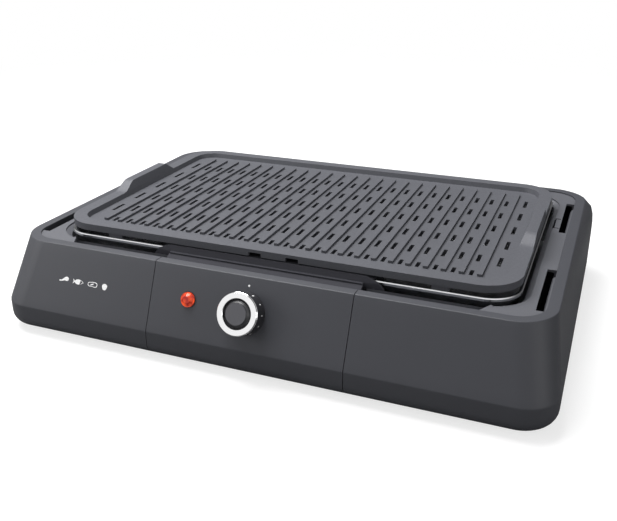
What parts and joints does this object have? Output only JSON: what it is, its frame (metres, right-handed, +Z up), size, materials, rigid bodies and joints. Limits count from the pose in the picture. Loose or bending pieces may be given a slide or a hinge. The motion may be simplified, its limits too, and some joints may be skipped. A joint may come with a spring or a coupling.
{
  "type": "countertop electric grill",
  "caption": "Low countertop electric grill with a slotted cast plate over a drip tray, a removable heater unit with a dial and a pilot lamp, and an open rectangular base.",
  "frame": {"origin": "on the surface that the feet stand on, under the middle of the whole object with its dial", "axes": "+X to the right as seen from the dial side, +Y to the back, +Z up"},
  "size_m": [0.503, 0.3729, 0.1042],
  "materials": {
    "casing_plastic": "satin",
    "ledge_plastic": "satin",
    "inner_plastic": "matt",
    "plate_coating": "satin non-stick",
    "tray_steel": "bright rolled",
    "shield_sheet": "mill",
    "element_steel": "oxidised",
    "screw_steel": "zinc plated",
    "contact_brass": "plain",
    "sensor_metal": "satin",
    "knob_plastic": "satin",
    "knob_chrome": "polished",
    "lens_plastic": "clear tinted",
    "switch_plastic": "plain",
    "foot_rubber": "matt"
  },
  "bodies": {
    "base": {"base_shell": "casing_plastic", "inner_frame": "ledge_plastic", "base_plate": "inner_plastic", "heat_shield": "shield_sheet", "rubber_feet": "foot_rubber"},
    "tray": {"drip_tray": "tray_steel"},
    "heater_unit": {"control_panel": "casing_plastic", "rear_cover": "inner_plastic", "bottom_cover": "inner_plastic", "bridge": "ledge_plastic", "thermostat_body": "switch_plastic", "thermostat_bracket": "shield_sheet", "thermostat_nut": "contact_brass", "lamp_lens": "lens_plastic", "lamp_holder": "switch_plastic", "thermal_cutout": "switch_plastic", "terminal_block": "switch_plastic", "cord_gland": "foot_rubber", "heating_element": "element_steel", "element_bushes": "screw_steel", "element_pins": "contact_brass", "element_combs": "shield_sheet", "sensor_bulb": "sensor_metal"},
    "knob": {"knob_body": "knob_plastic", "knob_ring": "knob_chrome", "knob_cap": "knob_plastic", "thermostat_shaft": "screw_steel"},
    "grill_plate": {"grill_plate": "plate_coating"}
  },
  "joints": [
    {"name": "tray_lift", "type": "slide", "parent": "base", "child": "tray", "axis": [0, 0, 1], "range_m": [0, 0.08]},
    {"name": "heater_lift", "type": "slide", "parent": "tray", "child": "heater_unit", "axis": [0, 0, 1], "range_m": [0, 0.12]},
    {"name": "plate_lift", "type": "slide", "parent": "heater_unit", "child": "grill_plate", "axis": [0, 0, 1], "range_m": [0, 0.1]},
    {"name": "dial_turn", "type": "hinge", "parent": "heater_unit", "child": "knob", "pos_m": [0.0002, -0.16435, 0.05616], "axis": [0, 0.9157, -0.4019], "range_deg": [0, 270]}
  ]
}
